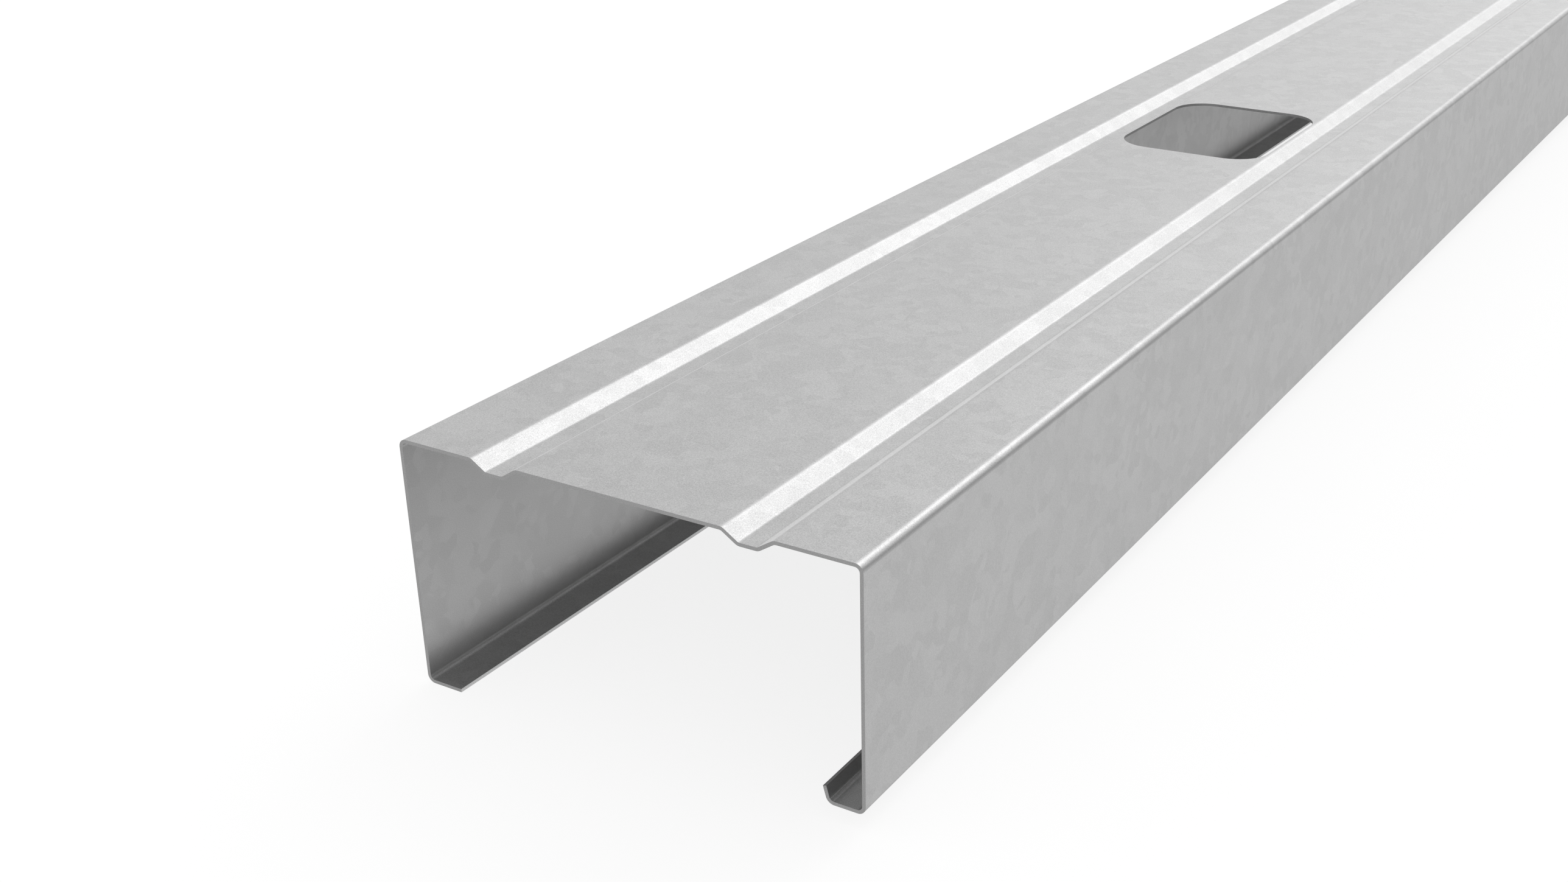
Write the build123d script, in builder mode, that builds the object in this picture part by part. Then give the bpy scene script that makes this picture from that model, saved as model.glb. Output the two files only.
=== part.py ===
from build123d import *
import math
import os

# A light steel wall stud: one strip of galvanised sheet, rolled into a lipped channel and lying
# web up on its lips. X runs across the web, Y along the stud and Z up. The origin is under the
# middle of the stud, on the level of its lowest lip. Sizes are in millimetres.

# Outside sizes of the section, and the length it is sold in
stud_length = 2400
web_width = 70
wide_flange = 36.5
narrow_flange = 34
sheet_thickness = 0.5

# Lips: the wide flange has a plain one, the narrow flange's is turned up again at its free edge.
# The return is measured along its outside, and its lean from upright, away from its flange.
plain_lip = 5.9
folded_lip = 5.4
lip_return = 2.45
return_lean = 15

# Radii on the inside of the bends
flange_bend = 0.7
groove_bend = 0.8

# Two stiffening grooves along the web, measured on its outside
groove_spacing = 38.5
groove_mouth = 7.25
groove_floor = 2.65
groove_depth = 1.5

# Service holes along the middle of the web, for cables and pipes
hole_width = 30
hole_length = 40
hole_corner = 7
end_to_first_hole = 200
hole_pitch = 500

# The sheet is drawn along its middle line, half a thickness inside the outside sizes
half_sheet = sheet_thickness / 2
web_level = wide_flange - half_sheet
wide_side = -web_width / 2 + half_sheet
narrow_side = web_width / 2 - half_sheet
narrow_foot = wide_flange - narrow_flange + half_sheet


def corner_shift(turn):
    """How far along the sheet a corner of its middle line stands from the same corner outside."""
    return half_sheet * math.tan(turn / 2)


# The grooves' sides and the return meet the flat sheet at these angles
groove_turn = math.atan2(groove_depth, (groove_mouth - groove_floor) / 2)
return_turn = math.radians(90 - return_lean)


def groove_corners(middle):
    """The four corners of one groove on the middle line, from the wide side to the narrow."""
    mouth = groove_mouth / 2 + corner_shift(groove_turn)
    floor = groove_floor / 2 + corner_shift(groove_turn)
    return [
        (middle - mouth, web_level),
        (middle - floor, web_level - groove_depth),
        (middle + floor, web_level - groove_depth),
        (middle + mouth, web_level),
    ]


def return_corners():
    """The fold of the narrow flange's lip and the free edge of its return."""
    fold_line = web_width / 2 - folded_lip + corner_shift(return_turn)
    length = lip_return - corner_shift(return_turn)
    edge = (
        fold_line - length * math.cos(return_turn),
        narrow_foot + length * math.sin(return_turn),
    )
    return [(fold_line, narrow_foot), edge]


# The middle line, from the plain lip's free edge round the section to the return's free edge
middle_corners = [
    (-web_width / 2 + plain_lip, half_sheet),
    (wide_side, half_sheet),
    (wide_side, web_level),
    *groove_corners(-groove_spacing / 2),
    *groove_corners(groove_spacing / 2),
    (narrow_side, web_level),
    (narrow_side, narrow_foot),
    *return_corners(),
]
flange_radius = flange_bend + half_sheet
groove_radius = groove_bend + half_sheet
corner_radii = [flange_radius] * 2 + [groove_radius] * 8 + [flange_radius] * 3

# Service holes at an even pitch, for as long as the last one keeps its distance from the far end
near_end = -stud_length / 2
hole_count = int((stud_length - 2 * end_to_first_hole) // hole_pitch) + 1
hole_places = [
    (0, near_end + end_to_first_hole + number * hole_pitch)
    for number in range(hole_count)
]
punch_reach = 2 * (sheet_thickness + groove_depth)

with BuildPart() as stud:
    # The folded strip, drawn out to its full length
    with BuildSketch(Plane.XZ) as section:
        with BuildLine():
            FilletPolyline(*middle_corners, radius=corner_radii)
        trace(line_width=sheet_thickness)
    extrude(amount=stud_length / 2, both=True)

    # The service holes: the punch passes well through the web, up and down
    with BuildSketch(Plane.XY.offset(web_level)) as punch:
        with Locations(*hole_places):
            RectangleRounded(hole_width, hole_length, hole_corner)
    extrude(amount=punch_reach, both=True, mode=Mode.SUBTRACT)

stud.part.label = "stud"
os.makedirs("parts", exist_ok=True)
export_step(stud.part, "parts/stud.step")
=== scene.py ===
import math

import bpy
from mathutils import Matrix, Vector


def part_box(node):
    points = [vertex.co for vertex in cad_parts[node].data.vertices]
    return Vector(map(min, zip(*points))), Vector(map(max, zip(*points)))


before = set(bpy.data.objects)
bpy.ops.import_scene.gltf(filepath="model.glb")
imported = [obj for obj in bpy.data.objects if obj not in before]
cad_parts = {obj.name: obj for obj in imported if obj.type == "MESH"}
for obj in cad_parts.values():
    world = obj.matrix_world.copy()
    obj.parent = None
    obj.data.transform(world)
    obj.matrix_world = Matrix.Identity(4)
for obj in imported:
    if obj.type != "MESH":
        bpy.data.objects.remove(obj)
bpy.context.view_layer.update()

# A galvanised steel wall stud, lying web up on its lips on a pale studio floor. Everything is in
# metres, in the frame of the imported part: X across the web, Y along the stud, Z up.

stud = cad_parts["stud"]
low_corner, high_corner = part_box("stud")

# Sizes of the stud that tell where its sheet was cut or turned. The return is the folded lip's
# free part, and the grooves keep out of a strip along each flange.
sheet_thickness = 0.0005
plain_lip = 0.0059
hole_width = 0.030
return_top = 0.0045
return_lean = math.radians(15)
strip_by_flange = 0.005

# How a face's direction is told from the parts of its normal: squarely along a line, upright, and
# looking up at least as the grooves' slopes do
squarely = 0.98
upright = 0.2
looking_up = 0.6

# How far from its exact place a cut edge may be found
edge_slack = sheet_thickness / 5

# The picture's size in pixels, and the camera that took it: its focal length and the middle of its
# lens in the same pixels, its place, its turn in degrees and the nearest thing that it sees
picture_width = 2576
picture_height = 1449
focal_length = 3045.99
picture_centre = (1490.09, 781.64)
sensor_width = 36
camera_place = (0.13045, -1.35710, 0.13390)
camera_turn = (64.844, -0.102, 29.817)
nearest_seen = 0.01

# Zinc coating: its grey, its roughness, and how much the roughness differs between crystals
zinc_grey = 0.60
zinc_roughness = 0.40
roughness_spread = 0.03

# Zinc crystals: the size of the large and the small ones, the share of the small ones that have
# grown over the large, and how soft their borders are. The borders wander by a part of a large
# crystal's size, this many times in its length.
crystal_size = 0.0042
small_crystal_size = 0.0019
small_crystal_share = 0.35
border_softness = 0.2
border_wander = 0.35
border_waves = 1.3

# Grain of the coating: its size, and how high and how strong its relief is
grain_size = 0.00015
grain_height = 0.00002
grain_relief = 0.25

# A wide, faint unevenness: its waves in a metre
clouds_per_metre = 18

# How much each of these patterns changes the coating's grey. They go from 0 to 1 about a middle.
crystal_contrast = 0.09
grain_contrast = 0.80
cloud_contrast = 0.06
pattern_middle = 0.5

# The grooves' slopes: the rollers have stretched them and smeared their crystals. Their paler grey
# is painted reflection, standing in for the light that the two slopes of a groove mirror from
# each other
slope_painted_reflection_grey = 0.80
slope_roughness = 0.565
slope_crystal_contrast = 0.03

# The flanges: the rollers have smoothed their crystals and grain. Their outer faces are made paler
# with painted light, standing in for the bright floor that they mirror
outer_face_painted_light_grey = 0.633
flange_crystal_contrast = 0.07
flange_grain_contrast = 0.40

# Painted shade: the steep part of the web's outer bends, and the return's side towards its flange,
# are made darker, standing in for the dim reflection along the lower part of a bend
bend_painted_shade_grey = 0.53

# Where each of these finishes, painted light and painted shade begins and where it is full, by the
# sine of the sheet's turn from level
slope_turn = (0.30, 0.50)
flange_turn = (0.75, 0.90)
bend_turn = (0.86, 0.95)
outer_face_turn = (0.975, 0.998)

# Bare steel where the sheet was sheared; the walls of the holes across the stud, made darker with
# painted shade; and the free edge of the plain lip, made paler with painted reflection of the floor
cut_grey = 0.45
cut_roughness = 0.55
cut_contrast = 0.6
hole_wall_painted_shade_grey = 0.34
lip_edge_painted_reflection_grey = 0.80

# Sky of the studio: how bright it is at each height above the horizon, in degrees
sky_heights = {0: 1.0, 5: 0.79, 15: 0.765, 30: 0.765, 50: 0.82, 90: 0.83}

# A dim flag at the far right: the way to it, its half angle without and with its soft rim, and how
# much of the sky's light it takes away
flag = (50, -5, 16, 32, 0.80)

# Soft lamps: the way to each, clockwise from +Y and up from the floor, its half angle, and how much
# it adds to the sky's brightness
soft_lamps = {
    "low_softbox": (2, 30, 12, 0.36),
    "high_softbox": (6, 44, 14, 1.12),
    "wide_softbox": (6, 38, 28, 0.25),
}

# The floor reaches far enough for its edge to lie on the horizon. It has a glow of its own, which
# the camera sees brighter than metal and glass do.
floor_half_size = 300
floor_grey = 0.22
floor_glow = 0.82
floor_glow_in_metal = 0.55


def node(tree, kind, **settings):
    """A new node of that kind. Settings that name an input set its value, others the node's own."""
    made = tree.nodes.new(kind)
    for name, value in settings.items():
        if hasattr(made, name):
            setattr(made, name, value)
        else:
            made.inputs[name.replace("_", " ")].default_value = value
    return made


def feed(tree, value, target):
    """Give a node's input its value, which is a socket or a number."""
    if isinstance(value, bpy.types.NodeSocket):
        tree.links.new(value, target)
    else:
        target.default_value = value


def maths(tree, operation, *values):
    """The output of one Math node. Each value is a socket or a number."""
    made = node(tree, "ShaderNodeMath", operation=operation)
    for place, value in enumerate(values):
        feed(tree, value, made.inputs[place])
    return made.outputs[0]


def all_of(tree, *masks):
    """The mask of what is in all of these masks: their product."""
    product = masks[0]
    for mask in masks[1:]:
        product = maths(tree, "MULTIPLY", product, mask)
    return product


def any_of(tree, *masks):
    """The mask of what is in at least one of these masks: the largest of them."""
    largest = masks[0]
    for mask in masks[1:]:
        largest = maths(tree, "MAXIMUM", largest, mask)
    return largest


def changed_in(tree, usual, *changes):
    """The usual value, changed to another one in each mask."""
    value = usual
    for mask, other in changes:
        value = maths(tree, "MULTIPLY_ADD", mask, other - usual, value)
    return value


def mixed(tree, mask, outside, inside):
    """One value outside the mask and another inside it. Each is a socket or a number."""
    made = node(tree, "ShaderNodeMix", data_type="FLOAT")
    for name, value in (("Factor", mask), ("A", outside), ("B", inside)):
        feed(tree, value, made.inputs[name])
    return made.outputs["Result"]


def smooth_step(tree, value, low, high):
    """A mask that rises smoothly from 0 to 1 while the value goes from low to high."""
    made = node(tree, "ShaderNodeMapRange", interpolation_type="SMOOTHSTEP")
    made.inputs["From Min"].default_value = low
    made.inputs["From Max"].default_value = high
    tree.links.new(value, made.inputs["Value"])
    return made.outputs["Result"]


def parts_of(tree, vector):
    """The outputs with a vector's X, Y and Z."""
    made = node(tree, "ShaderNodeSeparateXYZ")
    tree.links.new(vector, made.inputs[0])
    return made.outputs


def along(tree, vector, way):
    """How far a vector goes a fixed way."""
    made = node(tree, "ShaderNodeVectorMath", operation="DOT_PRODUCT")
    made.inputs[1].default_value = way
    tree.links.new(vector, made.inputs[0])
    return made.outputs["Value"]


def new_group(name):
    """A shader node group, and its input for a place on the stud."""
    tree = bpy.data.node_groups.new(name, "ShaderNodeTree")
    tree.interface.new_socket("Place", in_out="INPUT", socket_type="NodeSocketVector")
    return tree, node(tree, "NodeGroupInput").outputs["Place"]


def close_group(tree, results):
    """Give a node group its outputs, each one a number."""
    for label in results:
        tree.interface.new_socket(label, in_out="OUTPUT", socket_type="NodeSocketFloat")
    end = node(tree, "NodeGroupOutput")
    for label, result in results.items():
        tree.links.new(result, end.inputs[label])
    return tree


def use_group(tree, made, place):
    """The outputs of a node group that is put into a material."""
    holder = node(tree, "ShaderNodeGroup", node_tree=made)
    tree.links.new(place, holder.inputs["Place"])
    return holder.outputs


def spangle_group():
    """Zinc crystals: patches of one tone each, with smaller ones among them."""
    tree, place = new_group("zinc spangle")
    link = tree.links.new
    wander = node(tree, "ShaderNodeTexNoise", Scale=border_waves / crystal_size, Detail=1.5)
    link(place, wander.inputs["Vector"])
    centred = node(tree, "ShaderNodeVectorMath", operation="SUBTRACT")
    centred.inputs[1].default_value = [pattern_middle] * 3
    link(wander.outputs["Color"], centred.inputs[0])
    reach = node(tree, "ShaderNodeVectorMath", operation="SCALE")
    reach.inputs["Scale"].default_value = border_wander * crystal_size
    link(centred.outputs[0], reach.inputs[0])
    bent = node(tree, "ShaderNodeVectorMath", operation="ADD")
    link(place, bent.inputs[0])
    link(reach.outputs[0], bent.inputs[1])
    layers = []
    for size in (crystal_size, small_crystal_size):
        cells = node(tree, "ShaderNodeTexVoronoi", feature="SMOOTH_F1")
        cells.inputs["Scale"].default_value = 1 / size
        cells.inputs["Smoothness"].default_value = border_softness
        link(bent.outputs[0], cells.inputs["Vector"])
        layers.append(parts_of(tree, cells.outputs["Color"]))
    large, small = layers
    grown = maths(tree, "LESS_THAN", small["X"], small_crystal_share)
    return close_group(tree, {"Tone": mixed(tree, grown, large["Y"], small["Y"])})


def cut_edge_group():
    """Where the sheet was sheared: both ends, the holes' walls and the lips' free edges."""
    tree, place = new_group("sheared edges")
    at = parts_of(tree, place)
    normal = node(tree, "ShaderNodeNewGeometry").outputs["True Normal"]
    facing = parts_of(tree, normal)
    along_x, along_y, along_z = [maths(tree, "ABSOLUTE", facing[axis]) for axis in "XYZ"]
    off_middle = maths(tree, "ABSOLUTE", at["X"])
    off_centre = maths(tree, "ABSOLUTE", at["Y"])
    ends = maths(tree, "GREATER_THAN", along_y, squarely)
    # A hole's wall is upright, in the sheet of the web, within the hole's width of the middle and
    # well short of the ends
    under_web = high_corner.z - sheet_thickness - edge_slack
    walls = all_of(
        tree,
        maths(tree, "LESS_THAN", along_z, upright),
        maths(tree, "LESS_THAN", off_middle, hole_width / 2 + edge_slack),
        maths(tree, "GREATER_THAN", at["Z"], under_web),
        maths(tree, "LESS_THAN", off_centre, high_corner.y - hole_width),
    )
    # The plain lip ends in an upright edge, that lip's reach from the wide flange's face
    plain_edge = all_of(
        tree,
        maths(tree, "GREATER_THAN", along_x, squarely),
        maths(tree, "COMPARE", at["X"], low_corner.x + plain_lip, edge_slack),
    )
    # The return ends in an edge that faces up, leaning as the return does
    return_way = (-math.sin(return_lean), 0, math.cos(return_lean))
    return_edge = all_of(
        tree,
        maths(tree, "GREATER_THAN", along(tree, normal, return_way), squarely),
        maths(tree, "COMPARE", at["Z"], return_top, 2 * sheet_thickness),
    )
    results = {
        "Mask": any_of(tree, ends, walls, plain_edge, return_edge),
        # The plain lip's free edge is made paler with painted reflection of the bright floor
        "Painted Reflection Lip Mask": plain_edge,
        # Painted shade: the walls across the stud are made darker than those along it
        "Painted Shade Wall Mask": all_of(tree, walls, along_y),
    }
    return close_group(tree, results)


def turned_sheet_group():
    """The sheet that the rollers turned: the grooves' slopes, the flanges and the bends."""
    tree, place = new_group("turned sheet")
    across = parts_of(tree, place)["X"]
    facing = parts_of(tree, node(tree, "ShaderNodeNewGeometry").outputs["Normal"])
    turn = maths(tree, "ABSOLUTE", facing["X"])
    web_limit = high_corner.x - strip_by_flange
    slopes = all_of(
        tree,
        smooth_step(tree, turn, *slope_turn),
        maths(tree, "GREATER_THAN", facing["Z"], looking_up),
        maths(tree, "LESS_THAN", maths(tree, "ABSOLUTE", across), web_limit),
    )
    outwards = maths(tree, "GREATER_THAN", maths(tree, "MULTIPLY", facing["X"], across), 0)
    upwards = maths(tree, "GREATER_THAN", facing["Z"], 0)
    flat = smooth_step(tree, turn, *outer_face_turn)
    steep = maths(tree, "SUBTRACT", smooth_step(tree, turn, *bend_turn), flat)
    # The slopes' grey carries painted reflection, the outer faces painted light and the steep part
    # of the bends painted shade
    results = {
        "Slope Mask": slopes,
        "Flange Mask": smooth_step(tree, turn, *flange_turn),
        "Painted Light Face Mask": all_of(tree, flat, outwards),
        "Painted Shade Bend Mask": all_of(tree, steep, outwards, upwards),
    }
    return close_group(tree, results)


def galvanised_steel():
    """Bright rolled sheet with a zinc coating, and bare steel where it was cut."""
    material = bpy.data.materials.new("galvanised_steel")
    material.use_nodes = True
    tree = material.node_tree
    link = tree.links.new
    shader = tree.nodes["Principled BSDF"]
    shader.inputs["Metallic"].default_value = 1.0

    place = node(tree, "ShaderNodeTexCoord").outputs["Object"]
    spangle = use_group(tree, spangle_group(), place)
    cut = use_group(tree, cut_edge_group(), place)
    turned = use_group(tree, turned_sheet_group(), place)
    slope = turned["Slope Mask"]
    flange = turned["Flange Mask"]
    grain = node(tree, "ShaderNodeTexNoise", Scale=1 / grain_size, Detail=3.0)
    cloud = node(tree, "ShaderNodeTexNoise", Scale=clouds_per_metre, Detail=2.0)
    for noise in (grain, cloud):
        link(place, noise.inputs["Vector"])
    crystals, grains, clouds = [
        maths(tree, "SUBTRACT", pattern, pattern_middle)
        for pattern in (spangle["Tone"], grain.outputs["Fac"], cloud.outputs["Fac"])
    ]

    # Zinc: each crystal's tone, the fine grain in it and a wide, faint unevenness
    on_slope = (slope, slope_crystal_contrast)
    on_flange = (flange, flange_crystal_contrast)
    shades = (
        (crystals, changed_in(tree, crystal_contrast, on_slope, on_flange)),
        (grains, changed_in(tree, grain_contrast, (flange, flange_grain_contrast))),
        (clouds, cloud_contrast),
    )
    tone = 0.0
    for pattern, contrast in shades:
        tone = maths(tree, "MULTIPLY_ADD", pattern, contrast, tone)
    # The coating's grey: paler on the slopes with painted reflection and on the flanges' outer
    # faces with painted light, darker on the steep part of the bends with painted shade
    level = changed_in(
        tree,
        zinc_grey,
        (slope, slope_painted_reflection_grey),
        (turned["Painted Light Face Mask"], outer_face_painted_light_grey),
        (turned["Painted Shade Bend Mask"], bend_painted_shade_grey),
    )
    zinc = maths(tree, "MULTIPLY_ADD", tone, level, level)

    # Bare steel, with the marks that the shears left. It is paler at the plain lip's free edge with
    # painted reflection, and darker on the hole walls across the stud with painted shade
    bare = changed_in(
        tree, cut_grey, (cut["Painted Reflection Lip Mask"], lip_edge_painted_reflection_grey), (cut["Painted Shade Wall Mask"], hole_wall_painted_shade_grey)
    )
    shear_marks = maths(tree, "MULTIPLY", grains, cut_contrast)
    sheared = maths(tree, "MULTIPLY_ADD", shear_marks, bare, bare)
    grey = mixed(tree, cut["Mask"], zinc, sheared)
    colour = node(tree, "ShaderNodeCombineColor")
    for channel in ("Red", "Green", "Blue"):
        link(grey, colour.inputs[channel])
    link(colour.outputs["Color"], shader.inputs["Base Color"])

    # Roughness: crystals differ a little, and a cut edge is duller
    coated = changed_in(tree, zinc_roughness, (slope, slope_roughness))
    coated = maths(tree, "MULTIPLY_ADD", crystals, -roughness_spread, coated)
    link(mixed(tree, cut["Mask"], coated, cut_roughness), shader.inputs["Roughness"])

    bump = node(tree, "ShaderNodeBump", Strength=grain_relief, Distance=grain_height)
    link(grain.outputs["Fac"], bump.inputs["Height"])
    link(bump.outputs["Normal"], shader.inputs["Normal"])
    return material


def floor_material():
    """Pale and matt. A part of it glows in the camera's view, so it stays near white in shadow."""
    material = bpy.data.materials.new("studio_floor")
    material.use_nodes = True
    tree = material.node_tree
    link = tree.links.new
    tree.nodes.remove(tree.nodes["Principled BSDF"])
    matt = node(tree, "ShaderNodeBsdfDiffuse", Color=(floor_grey, floor_grey, floor_grey, 1))
    glow = node(tree, "ShaderNodeEmission")
    rays = node(tree, "ShaderNodeLightPath").outputs
    mirrored = any_of(tree, rays["Is Glossy Ray"], rays["Is Transmission Ray"])
    in_metal = maths(tree, "MULTIPLY", mirrored, floor_glow_in_metal)
    in_view = maths(tree, "MULTIPLY", rays["Is Camera Ray"], floor_glow)
    link(maths(tree, "MAXIMUM", in_view, in_metal), glow.inputs["Strength"])
    both = node(tree, "ShaderNodeAddShader")
    link(matt.outputs[0], both.inputs[0])
    link(glow.outputs[0], both.inputs[1])
    link(both.outputs[0], tree.nodes["Material Output"].inputs["Surface"])
    return material


def build_floor():
    reach = floor_half_size
    mesh = bpy.data.meshes.new("floor")
    corners = [(-reach, -reach, 0), (reach, -reach, 0), (reach, reach, 0), (-reach, reach, 0)]
    mesh.from_pydata(corners, [], [(0, 1, 2, 3)])
    mesh.materials.append(floor_material())
    floor = bpy.data.objects.new("floor", mesh)
    bpy.context.scene.collection.objects.link(floor)


def direction(around, up):
    """The way to something far off: degrees clockwise from +Y, and up from the floor."""
    around, up = math.radians(around), math.radians(up)
    return Vector(
        (math.sin(around) * math.cos(up), math.cos(around) * math.cos(up), math.sin(up))
    )


def build_sky():
    """A plain studio sky, brightest at the horizon, with a dim flag in it."""
    world = bpy.data.worlds.new("studio")
    bpy.context.scene.world = world
    world.use_nodes = True
    tree = world.node_tree
    background = tree.nodes["Background"]
    way = node(tree, "ShaderNodeTexCoord").outputs["Generated"]
    ramp = node(tree, "ShaderNodeValToRGB")
    tree.links.new(parts_of(tree, way)["Z"], ramp.inputs["Fac"])
    tree.links.new(ramp.outputs["Color"], background.inputs["Color"])
    stops = ramp.color_ramp.elements
    while len(stops) > 1:
        stops.remove(stops[-1])
    for number, (degrees, brightness) in enumerate(sky_heights.items()):
        position = math.sin(math.radians(degrees))
        stop = stops[0] if number == 0 else stops.new(position)
        stop.position = position
        stop.color = (brightness, brightness, brightness, 1)
    # The flag darkens what falls on the stud and shows in it, but not the backdrop in the view
    around, up, inner, outer, taken = flag
    nearness = along(tree, way, direction(around, up))
    rim = [math.cos(math.radians(angle)) for angle in (outer, inner)]
    dimmed = changed_in(tree, 1.0, (smooth_step(tree, nearness, *rim), 1.0 - taken))
    in_view = node(tree, "ShaderNodeLightPath").outputs["Is Camera Ray"]
    strength = maths(tree, "MAXIMUM", dimmed, in_view)
    tree.links.new(strength, background.inputs["Strength"])


def build_lamps():
    for name, (around, up, half_angle, brightness) in soft_lamps.items():
        lamp = bpy.data.lights.new(name, "SUN")
        lamp.angle = 2 * math.radians(half_angle)
        lamp.energy = brightness * math.pi * math.sin(math.radians(half_angle)) ** 2
        holder = bpy.data.objects.new(name, lamp)
        holder.rotation_euler = direction(around, up).to_track_quat("Z", "Y").to_euler()
        bpy.context.scene.collection.objects.link(holder)


def build_camera():
    """The photograph's viewpoint, with the shift that its framing has."""
    lens = bpy.data.cameras.new("camera")
    lens.sensor_width = sensor_width
    lens.lens = focal_length / picture_width * sensor_width
    lens.shift_x = (picture_width / 2 - picture_centre[0]) / picture_width
    lens.shift_y = (picture_centre[1] - picture_height / 2) / picture_width
    lens.clip_start = nearest_seen
    lens.clip_end = 4 * floor_half_size
    camera = bpy.data.objects.new("camera", lens)
    camera.location = camera_place
    camera.rotation_euler = [math.radians(angle) for angle in camera_turn]
    bpy.context.scene.collection.objects.link(camera)
    bpy.context.scene.camera = camera


bpy.context.scene.view_settings.view_transform = "Standard"
stud.material_slots[0].material = galvanised_steel()
build_floor()
build_sky()
build_lamps()
build_camera()
